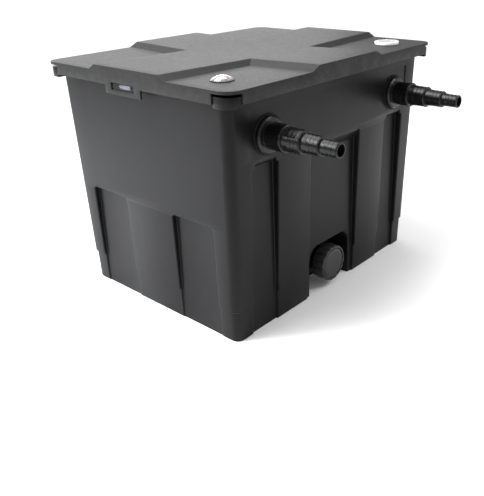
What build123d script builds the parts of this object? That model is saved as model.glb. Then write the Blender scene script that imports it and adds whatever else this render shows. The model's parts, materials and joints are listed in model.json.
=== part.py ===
"""Flow-through pond filter box with a lift-off lid, two stepped hose tails and a drain.

Frame: millimetres, +Z up, -Y is the side with the hose tails. The origin is the centre of
the footprint, on the ground.
"""

import os
from math import cos, radians, sin, sqrt

from build123d import *

os.makedirs("parts", exist_ok=True)

# ---------------------------------------------------------------- driving dimensions
# Tub: half lengths of the outside at the ground and at the top, which the draft joins.
TUB_FOOT = (274.0, 208.7)
TUB_TOP = (284.2, 219.5)
TUB_CORNER = 18.0
TUB_HEIGHT = 447.7
WALL = 4.0
BASE_BAND = 60.0
BASE_INSET = 3.0

# Rim, corner lugs and the guide ribs of the partitions.
RIM_HALF = (294.5, 236.0)
RIM_Z = (431.0, 441.0)
LUG_HALF = (298.0, 239.5)
LUG_REACH = (26.0, 35.0)
LUG_BOTTOM = 424.5

# Lid.
LID_HALF = (300.0, 241.5)
LID_CORNER = 26.0
LID_BOTTOM = 430.0
PAD_Z = 452.0
CROSS_Z = 461.0
LID_PLATE = 4.0
SKIRT = 3.5
CROSS_FOOT = (104.0, 100.0)
CROSS_TOP = (85.0, 85.5)
NOTCH_REACH = (28.5, 38.0)
NOTCH_TOP = 447.0

# Latch tabs of the lid and the catches behind their windows.
LATCH_Y = 10.0
TAB_HALF = 47.0
TAB_BOTTOM = 415.0
WINDOW_HALF = 30.5
WINDOW_Z = (422.5, 435.0)
CATCH_HALF = 20.0

# Recesses pressed into the walls: (middle, half width, height of the sloping top) along each wall.
CHANNELS = ((-198.0, 33.0, 7.0), (0.0, 76.0, 26.0), (198.0, 33.0, 7.0))
CHANNEL_FLOOR = 201.6
CHANNEL_TOP = 318.0
PANELS = ((-115.5, 51.0, 5.0), (115.5, 51.0, 5.0))
PANEL_FLOOR = 268.6
PANEL_TOP = 212.0

# Flat upright pad for the hose tails; the drafted wall runs into it at the foot.
PAD_HALF = 236.0
PAD_FACE = 216.6
PAD_SPAN = (325.0, 411.0)

# Drain niche, in the foot of the middle channel.
NICHE_HALF = 64.0
NICHE_TOP = 102.0
NICHE_CORNER = 30.0
NICHE_BACK = 150.0
DRAIN_Z = 50.0

# Hose tails: place, and the (radius, end) of each stretch, measured along -Y.
INLET_X = -192.0
OUTLET_X = 192.0
TAIL_Z = 362.5
TAIL_STEPS = ((20.0, 296.0), (16.0, 329.5), (12.5, 361.0))
TAIL_FLANGE = 32.0
TAIL_BARREL = 22.5
TAIL_BARREL_END = 261.0
TAIL_THREAD = 21.0
TAIL_BORES = ((17.0, 291.0), (13.2, 325.0), (9.7, 361.0))
TAIL_INNER_END = 189.0
BARB_DEPTH = 0.9
HOSE_SEAL = (35.0, 2.0)
RUNNING_GAP = 0.05

# Inner fittings.
PARTITION_X = 100.0
PARTITION_TOP = 400.0
PARTITION_THICK = 4.0
GRID_Z = 110.0
GRID_THICK = 6.0
MEDIA_HALF_Y = 192.0
FOAM_TOP = 300.0
ROD_RADIUS = 11.0

# Drain fitting.
SPOUT_RADIUS = 28.0
SPOUT_BORE = 23.0
SPOUT_END = 205.0
CAP_RADIUS = 37.0
CAP_FACE = 213.0
CAP_OPEN_END = 186.0
CAP_LOBES = 16

# Thermometer and flow indicator, on the front corner pads of the lid.
THERMO_XY = (222.0, -179.0)
THERMO_RADIUS = 24.3
DOME_XY = (-237.0, -165.0)
DOME_RADIUS = 19.0


def tub_half(z, inset=0.0):
    """Half lengths of the drafted tub at height z."""
    share = z / TUB_HEIGHT
    return tuple(foot + (top - foot) * share - inset for foot, top in zip(TUB_FOOT, TUB_TOP))


def drafted_block(z_low, z_high, inset):
    """Rounded block between two heights that follows the tub's draft."""
    with BuildPart() as block:
        for z in (z_low, z_high):
            half_x, half_y = tub_half(z, inset)
            with BuildSketch(Plane.XY.offset(z)):
                RectangleRounded(2 * half_x, 2 * half_y, TUB_CORNER - min(inset, WALL))
        loft()
    return block.part


def recess(span, floor, top, wall, grow):
    """Cutter of one pressed-in recess on the -Y side, made larger by grow for the inside."""
    middle, half, slope = span
    with BuildPart() as cutter:
        with BuildSketch(Plane.YZ.offset(middle - half - grow)):
            with BuildLine():
                Polyline(
                    (-wall - 30, -20),
                    (-floor + grow, -20),
                    (-floor + grow, top - slope + grow),
                    (-wall, top + grow),
                    (-wall - 30, top + grow + 30),
                    close=True,
                )
            make_face()
        extrude(amount=2 * (half + grow))
        inner_corners = cutter.edges().filter_by(Axis.Z).group_by(Axis.Y)[-1]
        fillet(inner_corners, radius=6.0)
    return cutter.part


def wall_recesses(grow):
    """All recesses of the four walls: channels front and back, panels left and right."""
    with BuildPart() as cutters:
        for span in CHANNELS:
            add(recess(span, CHANNEL_FLOOR, CHANNEL_TOP, TUB_TOP[1], grow))
        mirror(about=Plane.XZ)
    with BuildPart() as side_cutters:
        for span in PANELS:
            panel = recess(span, PANEL_FLOOR, PANEL_TOP, tub_half(PANEL_TOP)[0], grow)
            add(panel.rotate(Axis.Z, -90))
        mirror(about=Plane.YZ)
    return cutters.part, side_cutters.part


def hose_pad(grow):
    """Cutter of the flat upright pad behind the hose tails."""
    with BuildPart() as cutter:
        with BuildSketch(Plane.YZ.offset(-PAD_HALF - grow)):
            with BuildLine():
                Polyline(
                    (-PAD_FACE + grow, PAD_SPAN[0] - grow),
                    (-PAD_FACE + grow, PAD_SPAN[1] + grow),
                    (-PAD_FACE - 20, PAD_SPAN[1] + grow),
                    (-PAD_FACE - 20, PAD_SPAN[0] - 40 - grow),
                    close=True,
                )
            make_face()
        extrude(amount=2 * (PAD_HALF + grow))
    return cutter.part


def niche_cutter(grow):
    """Cutter of the drain niche, open to the front and to the ground."""
    with BuildPart() as cutter:
        with BuildSketch(Plane.XZ.offset(NICHE_BACK - grow)):
            with Locations((0, (NICHE_TOP + grow - 60) / 2)):
                RectangleRounded(2 * (NICHE_HALF + grow), NICHE_TOP + grow + 60, NICHE_CORNER + grow)
        extrude(amount=90)
    return cutter.part


def ring_along_y(x, z, radius_out, radius_in, y_from, y_to):
    """Plain ring about an axis along Y, between two distances in front of the origin."""
    with BuildPart() as ring:
        with BuildSketch(Plane((x, -y_from, z), x_dir=(1, 0, 0), z_dir=(0, -1, 0))):
            Circle(radius_out)
            Circle(radius_in, mode=Mode.SUBTRACT)
        extrude(amount=y_to - y_from)
    return ring.part


# ---------------------------------------------------------------- tub
with BuildPart() as cavity:
    add(drafted_block(WALL, BASE_BAND + WALL, BASE_INSET + WALL))
    add(drafted_block(BASE_BAND + WALL, TUB_HEIGHT + 10, WALL))
    channels_in, panels_in = wall_recesses(WALL)
    add(channels_in, mode=Mode.SUBTRACT)
    add(panels_in, mode=Mode.SUBTRACT)
    add(hose_pad(WALL), mode=Mode.SUBTRACT)
    add(niche_cutter(WALL), mode=Mode.SUBTRACT)

with BuildPart() as filter_box:
    add(drafted_block(0, BASE_BAND, BASE_INSET))
    add(drafted_block(BASE_BAND, TUB_HEIGHT, 0))
    with BuildSketch(Plane.XY.offset(RIM_Z[0])):
        RectangleRounded(2 * RIM_HALF[0], 2 * RIM_HALF[1], LID_CORNER - 5.5)
    extrude(amount=RIM_Z[1] - RIM_Z[0])
    with BuildSketch(Plane.XY.offset(LUG_BOTTOM)):
        RectangleRounded(2 * LUG_HALF[0], 2 * LUG_HALF[1], LID_CORNER - 2)
        Rectangle(2 * (LUG_HALF[0] - LUG_REACH[0]), 2 * LUG_HALF[1], mode=Mode.SUBTRACT)
        Rectangle(2 * LUG_HALF[0], 2 * (LUG_HALF[1] - LUG_REACH[1]), mode=Mode.SUBTRACT)
    extrude(amount=RIM_Z[1] - LUG_BOTTOM)
    channels_out, panels_out = wall_recesses(0)
    add(channels_out, mode=Mode.SUBTRACT)
    add(panels_out, mode=Mode.SUBTRACT)
    add(hose_pad(0), mode=Mode.SUBTRACT)
    add(niche_cutter(0), mode=Mode.SUBTRACT)
    add(cavity.part, mode=Mode.SUBTRACT)
    # Pairs of guide ribs that hold the two partitions.
    for side in (-1, 1):
        for face in (-1, 1):
            rib_x = side * PARTITION_X + face * (PARTITION_THICK / 2 + 2.0)
            with BuildSketch(Plane.YZ.offset(rib_x - 1.5)):
                for wall_side in (-1, 1):
                    with BuildLine():
                        Polyline(
                            (wall_side * 196.0, WALL),
                            (wall_side * 203.5, WALL),
                            (wall_side * 217.0, PARTITION_TOP),
                            (wall_side * 206.0, PARTITION_TOP),
                            close=True,
                        )
                    make_face()
            extrude(amount=3.0)
    # Holes for the two hose tails and the drain spout.
    with Locations(
        Location((INLET_X, -PAD_FACE, TAIL_Z), (90, 0, 0)),
        Location((OUTLET_X, -PAD_FACE, TAIL_Z), (90, 0, 0)),
    ):
        Cylinder(TAIL_THREAD + 0.5, 30, mode=Mode.SUBTRACT)
    with Locations(Location((0, -NICHE_BACK, DRAIN_Z), (90, 0, 0))):
        Cylinder(SPOUT_RADIUS + 0.3, 30, mode=Mode.SUBTRACT)
filter_box.part.label = "filter_box"

# ---------------------------------------------------------------- latch catches
CATCH_FACE = LID_HALF[0] - SKIRT - 0.4
for side, name in ((-1, "latch_catch_left"), (1, "latch_catch_right")):
    with BuildPart() as latch_catch:
        # Barrel-shaped front that fills the window of the lid's tab, hooked under the rim.
        with BuildSketch(Plane.XY.offset(WINDOW_Z[0] + 1.0)):
            with BuildLine():
                ThreePointArc(
                    (CATCH_FACE - 1.5, -CATCH_HALF), (CATCH_FACE, 0), (CATCH_FACE - 1.5, CATCH_HALF)
                )
                Line((CATCH_FACE - 1.5, CATCH_HALF), (RIM_HALF[0] - 9.0, CATCH_HALF))
                Line((RIM_HALF[0] - 9.0, CATCH_HALF), (RIM_HALF[0] - 9.0, -CATCH_HALF))
                Line((RIM_HALF[0] - 9.0, -CATCH_HALF), (CATCH_FACE - 1.5, -CATCH_HALF))
            make_face()
        extrude(amount=WINDOW_Z[1] - WINDOW_Z[0] - 2.0)
        with BuildSketch(Plane.XY.offset(RIM_Z[0])):
            with Locations((RIM_HALF[0] - 25.0, 0)):
                Rectangle(50.0, 60.0)
        extrude(amount=20.0, mode=Mode.SUBTRACT)
    catch = latch_catch.part.moved(Location((0, LATCH_Y, 0)))
    if side < 0:
        catch = catch.mirror(Plane.YZ)
    catch.label = name
    export_step(catch, f"parts/{name}.step")

# ---------------------------------------------------------------- lid
with BuildPart() as lid:
    with BuildSketch(Plane.XY.offset(LID_BOTTOM)):
        RectangleRounded(2 * LID_HALF[0], 2 * LID_HALF[1], LID_CORNER)
    extrude(amount=PAD_Z - LID_BOTTOM)
    # Raised cross: one drafted bar along X and one along Y, cut to the lid's outline.
    with BuildSketch(Plane.YZ.offset(-LID_HALF[0])):
        with BuildLine():
            Polyline(
                (-CROSS_FOOT[1], PAD_Z),
                (-CROSS_TOP[1], CROSS_Z),
                (CROSS_TOP[1], CROSS_Z),
                (CROSS_FOOT[1], PAD_Z),
                close=True,
            )
        make_face()
    extrude(amount=2 * LID_HALF[0])
    with BuildSketch(Plane.XZ.offset(-LID_HALF[1])):
        with BuildLine():
            Polyline(
                (-CROSS_FOOT[0], PAD_Z),
                (-CROSS_TOP[0], CROSS_Z),
                (CROSS_TOP[0], CROSS_Z),
                (CROSS_FOOT[0], PAD_Z),
                close=True,
            )
        make_face()
    extrude(amount=2 * LID_HALF[1])
    # Latch tabs hang below the skirt.
    for side in (-1, 1):
        with BuildSketch(Plane.XY.offset(TAB_BOTTOM)):
            with Locations((side * (LID_HALF[0] - SKIRT / 2), LATCH_Y)):
                Rectangle(SKIRT, 2 * TAB_HALF)
        extrude(amount=LID_BOTTOM - TAB_BOTTOM)
    # Hollow underside, one step higher below the cross.
    with BuildSketch(Plane.XY.offset(LID_BOTTOM)):
        RectangleRounded(
            2 * (LID_HALF[0] - SKIRT), 2 * (LID_HALF[1] - SKIRT), LID_CORNER - SKIRT
        )
    extrude(amount=PAD_Z - LID_PLATE - LID_BOTTOM, mode=Mode.SUBTRACT)
    with BuildSketch(Plane.XY.offset(PAD_Z - LID_PLATE - 1)):
        Rectangle(2 * (LID_HALF[0] - SKIRT), 2 * (CROSS_TOP[1] - 2))
        Rectangle(2 * (CROSS_TOP[0] - 2), 2 * (LID_HALF[1] - SKIRT))
    extrude(amount=CROSS_Z - PAD_Z + 1, mode=Mode.SUBTRACT)
    # Stiffening ribs under the cross.
    with BuildSketch(Plane.XY.offset(PAD_Z - LID_PLATE)):
        for offset_y in (-40.0, 0.0, 40.0):
            with Locations((0, offset_y)):
                Rectangle(2 * (LID_HALF[0] - SKIRT), 2.5)
        for offset_x in (-40.0, 0.0, 40.0):
            with Locations((offset_x, 0)):
                Rectangle(2.5, 2 * (LID_HALF[1] - SKIRT))
    extrude(amount=CROSS_Z - PAD_Z)
    # Windows of the latch tabs and the notches that show the tub's corner lugs.
    with BuildSketch(Plane.YZ.offset(-LID_HALF[0] - 5)):
        with Locations((LATCH_Y, sum(WINDOW_Z) / 2)):
            RectangleRounded(2 * WINDOW_HALF, WINDOW_Z[1] - WINDOW_Z[0], 1.5)
    extrude(amount=2 * LID_HALF[0] + 10, mode=Mode.SUBTRACT)
    with BuildSketch(Plane.XY.offset(LID_BOTTOM - 1)):
        with GridLocations(2 * LID_HALF[0], 2 * LID_HALF[1], 2, 2):
            Rectangle(2 * NOTCH_REACH[0], 2 * NOTCH_REACH[1])
    extrude(amount=NOTCH_TOP - LID_BOTTOM + 1, mode=Mode.SUBTRACT)
    # Holes for the thermometer probe and the indicator's guide.
    with Locations((*THERMO_XY, PAD_Z)):
        Cylinder(5.3, 30, mode=Mode.SUBTRACT)
    with Locations((*DOME_XY, PAD_Z)):
        Cylinder(11.8, 30, mode=Mode.SUBTRACT)
lid.part.label = "lid"

# ---------------------------------------------------------------- hose tails
def tail_profile():
    """Outside and bore of a hose tail as (radius, distance) points for a revolve."""
    outside = [
        (TAIL_THREAD, TAIL_INNER_END),
        (TAIL_THREAD, PAD_FACE + HOSE_SEAL[1]),
        (TAIL_FLANGE, PAD_FACE + HOSE_SEAL[1]),
        (TAIL_FLANGE, PAD_FACE + HOSE_SEAL[1] + 5.0),
        (TAIL_FLANGE - 3.0, PAD_FACE + HOSE_SEAL[1] + 8.0),
        (TAIL_BARREL, PAD_FACE + HOSE_SEAL[1] + 8.0),
        (TAIL_BARREL, TAIL_BARREL_END - 6.0),
        (TAIL_BARREL + 1.2, TAIL_BARREL_END - 5.0),
        (TAIL_BARREL + 1.2, TAIL_BARREL_END - 1.0),
        (TAIL_BARREL, TAIL_BARREL_END),
    ]
    start = TAIL_BARREL_END
    for radius, end in TAIL_STEPS:
        # A plain land, then three barbs that point back towards the tub.
        land_end = end - 24.0
        outside += [(radius, start), (radius, land_end)]
        for barb in range(3):
            root = land_end + 7.0 * barb
            outside += [(radius - BARB_DEPTH, root + 7.0), (radius, root + 7.0)]
        outside += [(radius, end - 2.0), (radius - 1.0, end)]
        start = end
    bore = [(TAIL_BORES[-1][0], TAIL_BORES[-1][1])]
    for (radius, end), (wider, _) in zip(TAIL_BORES[-2::-1], TAIL_BORES[-1:0:-1]):
        bore += [(wider, end), (radius, end - 4.0)]
    bore.append((TAIL_BORES[0][0], TAIL_INNER_END))
    return outside + bore


for tail_x, name in ((INLET_X, "inlet_hose_tail"), (OUTLET_X, "outlet_hose_tail")):
    with BuildPart() as hose_tail:
        with BuildSketch(Plane((tail_x, 0, TAIL_Z), x_dir=(1, 0, 0), z_dir=(0, 0, 1))):
            with BuildLine():
                Polyline(*[(radius, -distance) for radius, distance in tail_profile()], close=True)
            make_face()
        revolve(axis=Axis((tail_x, 0, TAIL_Z), (0, 1, 0)))
    hose_tail.part.label = name
    export_step(hose_tail.part, f"parts/{name}.step")

for tail_x, name in ((INLET_X, "inlet_seal"), (OUTLET_X, "outlet_seal")):
    seal = ring_along_y(
        tail_x, TAIL_Z, HOSE_SEAL[0], TAIL_THREAD + RUNNING_GAP, PAD_FACE, PAD_FACE + HOSE_SEAL[1]
    )
    seal.label = name
    export_step(seal, f"parts/{name}.step")

LOCK_NUT_OUTER = PAD_FACE - WALL
LOCK_NUT_DEPTH = 11.0
for tail_x, name in ((INLET_X, "inlet_lock_nut"), (OUTLET_X, "outlet_lock_nut")):
    with BuildPart() as lock_nut:
        nut_plane = Plane(
            (tail_x, -LOCK_NUT_OUTER + LOCK_NUT_DEPTH, TAIL_Z), x_dir=(1, 0, 0), z_dir=(0, -1, 0)
        )
        with BuildSketch(nut_plane):
            Circle(31.0)
            with PolarLocations(31.0, 8):
                Rectangle(6.0, 9.0)
            Circle(TAIL_THREAD + RUNNING_GAP, mode=Mode.SUBTRACT)
        extrude(amount=LOCK_NUT_DEPTH)
    lock_nut.part.label = name
    export_step(lock_nut.part, f"parts/{name}.step")

# ---------------------------------------------------------------- inlet elbow
ELBOW_RADIUS = 25.0
ELBOW_BEND = 34.0
ELBOW_MOUTH_Y = 155.0
ELBOW_START = LOCK_NUT_OUTER - LOCK_NUT_DEPTH - 1.0
with BuildPart() as inlet_elbow:
    with BuildLine():
        start = (INLET_X, -ELBOW_START, TAIL_Z)
        bend_in = (INLET_X, -ELBOW_MOUTH_Y - ELBOW_BEND, TAIL_Z)
        bend_mid = (
            INLET_X,
            -ELBOW_MOUTH_Y - ELBOW_BEND + ELBOW_BEND * sin(radians(45)),
            TAIL_Z - ELBOW_BEND + ELBOW_BEND * cos(radians(45)),
        )
        bend_out = (INLET_X, -ELBOW_MOUTH_Y, TAIL_Z - ELBOW_BEND)
        Line(start, bend_in)
        ThreePointArc(bend_in, bend_mid, bend_out)
        Line(bend_out, (INLET_X, -ELBOW_MOUTH_Y, TAIL_Z - ELBOW_BEND - 16.0))
    with BuildSketch(Plane(start, x_dir=(1, 0, 0), z_dir=(0, 1, 0))):
        Circle(ELBOW_RADIUS)
        Circle(TAIL_THREAD + RUNNING_GAP, mode=Mode.SUBTRACT)
    sweep()
inlet_elbow.part.label = "inlet_elbow"

# ---------------------------------------------------------------- outlet strainer
STRAINER_LENGTH = 120.0
with BuildPart() as outlet_strainer:
    add(
        ring_along_y(
            OUTLET_X, TAIL_Z, 25.0, TAIL_THREAD + RUNNING_GAP, ELBOW_START - STRAINER_LENGTH,
            ELBOW_START,
        )
    )
    with Locations(
        Location((OUTLET_X, -ELBOW_START + STRAINER_LENGTH + 1.5, TAIL_Z), (90, 0, 0))
    ):
        Cylinder(25.0, 3.0)
    # Slots cut through from above and from the side.
    for slot in range(8):
        slot_y = -ELBOW_START + 30.0 + 11.0 * slot
        with Locations((OUTLET_X, slot_y, TAIL_Z)):
            Box(60.0, 4.0, 22.0, mode=Mode.SUBTRACT)
            Box(22.0, 4.0, 60.0, mode=Mode.SUBTRACT)
outlet_strainer.part.label = "outlet_strainer"

# ---------------------------------------------------------------- drain
with BuildPart() as drain_spout:
    add(ring_along_y(0, DRAIN_Z, 40.0, SPOUT_BORE, NICHE_BACK - WALL - 6.0, NICHE_BACK - WALL))
    add(ring_along_y(0, DRAIN_Z, SPOUT_RADIUS, SPOUT_BORE, NICHE_BACK - WALL, SPOUT_END))
drain_spout.part.label = "drain_spout"

with BuildPart() as drain_lock_nut:
    with BuildSketch(
        Plane((0, -NICHE_BACK, DRAIN_Z), x_dir=(1, 0, 0), z_dir=(0, -1, 0))
    ):
        RegularPolygon(39.0, 8, rotation=22.5)
        Circle(SPOUT_RADIUS + RUNNING_GAP, mode=Mode.SUBTRACT)
    extrude(amount=9.0)
drain_lock_nut.part.label = "drain_lock_nut"

drain_seal = ring_along_y(0, DRAIN_Z, SPOUT_RADIUS - 0.5, SPOUT_BORE + 0.5, SPOUT_END, SPOUT_END + 2)
drain_seal.label = "drain_seal"

with BuildPart() as drain_cap:
    cap_plane = Plane((0, -CAP_OPEN_END, DRAIN_Z), x_dir=(1, 0, 0), z_dir=(0, -1, 0))
    with BuildSketch(cap_plane):
        Circle(CAP_RADIUS - 3.0)
        with PolarLocations(CAP_RADIUS - 3.0, CAP_LOBES):
            Circle(4.0)
    extrude(amount=CAP_FACE - CAP_OPEN_END)
    with BuildSketch(cap_plane):
        Circle(SPOUT_RADIUS + RUNNING_GAP)
    extrude(amount=SPOUT_END + 2 - CAP_OPEN_END, mode=Mode.SUBTRACT)
    # Shallow dished face inside the lobed rim.
    with BuildSketch(cap_plane.offset(CAP_FACE - CAP_OPEN_END)):
        Circle(CAP_RADIUS - 6.0)
    extrude(amount=-1.5, mode=Mode.SUBTRACT)
drain_cap.part.label = "drain_cap"

# ---------------------------------------------------------------- partitions
def partition(x, name, slots_low):
    """Chamber wall in the guide ribs, with water slots near its foot or its head."""
    with BuildPart() as plate:
        with BuildSketch(Plane.YZ.offset(x - PARTITION_THICK / 2)):
            with BuildLine():
                Polyline((-201.3, 6), (201.3, 6), (210.5, PARTITION_TOP), (-210.5, PARTITION_TOP),
                         close=True)
            make_face()
            slot_z = 60.0 if slots_low else PARTITION_TOP - 45.0
            with Locations((0, slot_z)):
                with GridLocations(36.0, 0, 10, 1):
                    SlotOverall(60.0, 14.0, rotation=90, mode=Mode.SUBTRACT)
        extrude(amount=PARTITION_THICK)
        # Finger hole for lifting the plate out.
        with Locations(Location((x, 0, PARTITION_TOP - (18.0 if slots_low else 90.0)), (0, 90, 0))):
            Cylinder(11.0, 3 * PARTITION_THICK, mode=Mode.SUBTRACT)
    plate.part.label = name
    export_step(plate.part, f"parts/{name}.step")


partition(-PARTITION_X, "partition_coarse_side", True)
partition(PARTITION_X, "partition_media_side", False)

# ---------------------------------------------------------------- media grids and their feet
# (kind, lowest x, highest x)
CHAMBERS = (
    ("coarse", -258.0, -105.0),
    ("fine", -94.0, 94.0),
    ("bio", 105.0, 258.0),
)
FOOT_WIDTH = 12.0
FEET_MIDDLE_Y = 30.0
for kind, x_low, x_high in CHAMBERS:
    width = x_high - x_low
    middle = (x_low + x_high) / 2
    columns = int(width // 18)
    with BuildPart() as media_grid:
        with BuildSketch(Plane.XY.offset(GRID_Z)):
            with Locations((middle, 0)):
                Rectangle(width, 2 * MEDIA_HALF_Y)
                with GridLocations((width - 6) / columns, 24.0, columns, 15):
                    Rectangle((width - 6) / columns - 4.0, 20.0, mode=Mode.SUBTRACT)
        extrude(amount=GRID_THICK)
    media_grid.part.label = f"media_grid_{kind}"
    export_step(media_grid.part, f"parts/media_grid_{kind}.step")

    # Four posts that carry the grid and keep the sludge space below it open.
    with BuildPart() as grid_feet:
        with BuildSketch(Plane.XY.offset(WALL)):
            with Locations((middle, FEET_MIDDLE_Y)):
                with GridLocations(width - 14.0, 2 * MEDIA_HALF_Y - 80.0, 2, 2):
                    Rectangle(FOOT_WIDTH, FOOT_WIDTH)
        extrude(amount=GRID_Z - WALL)
    grid_feet.part.label = f"grid_feet_{kind}"
    export_step(grid_feet.part, f"parts/grid_feet_{kind}.step")

# ---------------------------------------------------------------- foam cartridges and their rods
FOAM_WIDTH_Y = 124.0
FOAM_PITCH_Y = 127.0
FOAM_ROWS = (
    # (kind, lowest x, highest x, x of the rods)
    ("coarse", -256.0, -107.0, -167.0),
    ("fine", -92.0, 92.0, 0.0),
)
ROD_TOP = 322.0
ROD_HANDLE = (12.0, 40.0, 10.0)
for kind, x_low, x_high, rod_x in FOAM_ROWS:
    with BuildPart() as foam:
        with BuildSketch(Plane.XY.offset(GRID_Z + GRID_THICK)):
            with Locations(((x_low + x_high) / 2, 0)):
                with GridLocations(0, FOAM_PITCH_Y, 1, 3):
                    RectangleRounded(x_high - x_low, FOAM_WIDTH_Y, 5.0)
            with Locations((rod_x, 0)):
                with GridLocations(0, FOAM_PITCH_Y, 1, 3):
                    Circle(ROD_RADIUS + 0.5, mode=Mode.SUBTRACT)
        extrude(amount=FOAM_TOP - GRID_Z - GRID_THICK)
    foam.part.label = f"foam_{kind}"
    export_step(foam.part, f"parts/foam_{kind}.step")

    with BuildPart() as foam_rods:
        with BuildSketch(Plane.XY.offset(GRID_Z + GRID_THICK)):
            with Locations((rod_x, 0)):
                with GridLocations(0, FOAM_PITCH_Y, 1, 3):
                    Circle(ROD_RADIUS)
        extrude(amount=ROD_TOP - GRID_Z - GRID_THICK)
        with BuildSketch(Plane.XY.offset(ROD_TOP)):
            with Locations((rod_x, 0)):
                with GridLocations(0, FOAM_PITCH_Y, 1, 3):
                    RectangleRounded(ROD_HANDLE[0] + 12.0, ROD_HANDLE[1], 5.0)
        extrude(amount=ROD_HANDLE[2])
    foam_rods.part.label = f"foam_rods_{kind}"
    export_step(foam_rods.part, f"parts/foam_rods_{kind}.step")

# ---------------------------------------------------------------- loose biological media
BIO_MIDDLE_X = 181.5
RING_SIZE = (11.0, 5.0, 24.0)
with BuildPart() as ceramic_rings:
    for column in range(5):
        ring_x = BIO_MIDDLE_X + (column - 2) * 28.0 - RING_SIZE[2] / 2
        with BuildSketch(Plane.YZ.offset(ring_x)):
            with Locations((0, GRID_Z + GRID_THICK + RING_SIZE[0])):
                with GridLocations(27.0, 0, 14, 1):
                    Circle(RING_SIZE[0])
                    Circle(RING_SIZE[1], mode=Mode.SUBTRACT)
        extrude(amount=RING_SIZE[2])
ceramic_rings.part.label = "ceramic_rings"

BALL_RADIUS = 17.5
BALL_LAYERS = 6
BALL_PITCH = 37.0
# Height between layers at which a ball just clears the four it sits between.
BALL_STEP = sqrt((2 * BALL_RADIUS + 0.1) ** 2 - BALL_PITCH**2 / 2)
with BuildPart() as bio_balls:
    for layer in range(BALL_LAYERS):
        layer_z = GRID_Z + GRID_THICK + 2 * RING_SIZE[0] + 2.0 + BALL_RADIUS + layer * BALL_STEP
        columns = 4 - layer % 2
        with Locations((BIO_MIDDLE_X, 0, layer_z)):
            with GridLocations(BALL_PITCH, BALL_PITCH, columns, 10 - layer % 2):
                Sphere(BALL_RADIUS)
bio_balls.part.label = "bio_balls"

# ---------------------------------------------------------------- thermometer
thermo_plane = Plane((*THERMO_XY, PAD_Z))
PIN_RADIUS = 1.0
BEZEL_RIM = 2.0
with BuildPart() as thermometer_bezel:
    with BuildSketch(thermo_plane):
        Circle(THERMO_RADIUS)
        Circle(PIN_RADIUS + RUNNING_GAP, mode=Mode.SUBTRACT)
    extrude(amount=1.5)
    with BuildSketch(thermo_plane.offset(1.5)):
        Circle(THERMO_RADIUS)
        Circle(THERMO_RADIUS - BEZEL_RIM, mode=Mode.SUBTRACT)
    extrude(amount=4.0)
    fillet(thermometer_bezel.edges().group_by(Axis.Z)[-1].sort_by(SortBy.RADIUS)[-1], radius=1.2)
thermometer_bezel.part.label = "thermometer_bezel"

with BuildPart() as thermometer_dial:
    with BuildSketch(thermo_plane.offset(1.5)):
        Circle(THERMO_RADIUS - BEZEL_RIM)
        Circle(PIN_RADIUS + 0.5, mode=Mode.SUBTRACT)
    extrude(amount=0.8)
thermometer_dial.part.label = "thermometer_dial"

with BuildPart() as thermometer_pointer:
    with BuildSketch(thermo_plane.offset(0.2)):
        Circle(PIN_RADIUS)
    extrude(amount=2.8)
    with BuildSketch(thermo_plane.offset(2.9)):
        Circle(2.6)
        with BuildLine():
            Polyline((-1.5, 0), (-0.35, 17.5), (0.35, 17.5), (1.5, 0), (0.9, -6.0), (-0.9, -6.0),
                     close=True)
        make_face()
    extrude(amount=0.7)
thermometer_pointer.part.label = "thermometer_pointer"

with BuildPart() as thermometer_lens:
    with BuildSketch(thermo_plane.offset(4.5)):
        Circle(THERMO_RADIUS - BEZEL_RIM)
    extrude(amount=0.8)
thermometer_lens.part.label = "thermometer_lens"

PROBE_LENGTH = 66.0
with BuildPart() as thermometer_probe:
    with BuildSketch(thermo_plane.offset(-PROBE_LENGTH)):
        Circle(5.0)
    extrude(amount=PROBE_LENGTH)
    fillet(thermometer_probe.edges().group_by(Axis.Z)[0], radius=4.0)
    # Nut that holds the probe from below the lid.
    with BuildSketch(thermo_plane.offset(-LID_PLATE - 5.0)):
        RegularPolygon(10.0, 6)
    extrude(amount=5.0)
thermometer_probe.part.label = "thermometer_probe"

# ---------------------------------------------------------------- flow indicator
dome_plane = Plane((*DOME_XY, PAD_Z))
GASKET = 0.8
DOME_RISE = 7.5
DOME_WALL = 1.5
FLOAT_TRAVEL = 2.4
with BuildPart() as indicator_gasket:
    with BuildSketch(dome_plane):
        Circle(DOME_RADIUS + 0.6)
        Circle(12.2, mode=Mode.SUBTRACT)
    extrude(amount=GASKET)
indicator_gasket.part.label = "indicator_gasket"


def cap_radius(half_width, rise):
    """Radius of the sphere whose cap has this half width and rise."""
    return (half_width**2 + rise**2) / (2 * rise)


with BuildPart() as indicator_dome:
    outer_sphere = cap_radius(DOME_RADIUS, DOME_RISE)
    with BuildSketch(Plane((*DOME_XY, PAD_Z + GASKET), x_dir=(1, 0, 0), z_dir=(0, -1, 0))):
        with BuildLine():
            Line((0, DOME_RISE), (0, DOME_RISE - DOME_WALL))
            RadiusArc((0, DOME_RISE - DOME_WALL), (DOME_RADIUS - 4.0, 0),
                      cap_radius(DOME_RADIUS - 4.0, DOME_RISE - DOME_WALL))
            Line((DOME_RADIUS - 4.0, 0), (DOME_RADIUS, 0))
            RadiusArc((DOME_RADIUS, 0), (0, DOME_RISE), -outer_sphere)
        make_face()
    revolve(axis=Axis((*DOME_XY, 0), (0, 0, 1)))
indicator_dome.part.label = "indicator_dome"

GUIDE_LENGTH = 54.0
with BuildPart() as indicator_guide:
    with BuildSketch(dome_plane.offset(-GUIDE_LENGTH)):
        Circle(11.5)
        Circle(9.5, mode=Mode.SUBTRACT)
    extrude(amount=GUIDE_LENGTH)
    # Side windows that let the water reach the float's paddle.
    with Locations(dome_plane.offset(-GUIDE_LENGTH + 18.0)):
        Box(40.0, 8.0, 22.0, mode=Mode.SUBTRACT)
indicator_guide.part.label = "indicator_guide"

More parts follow.
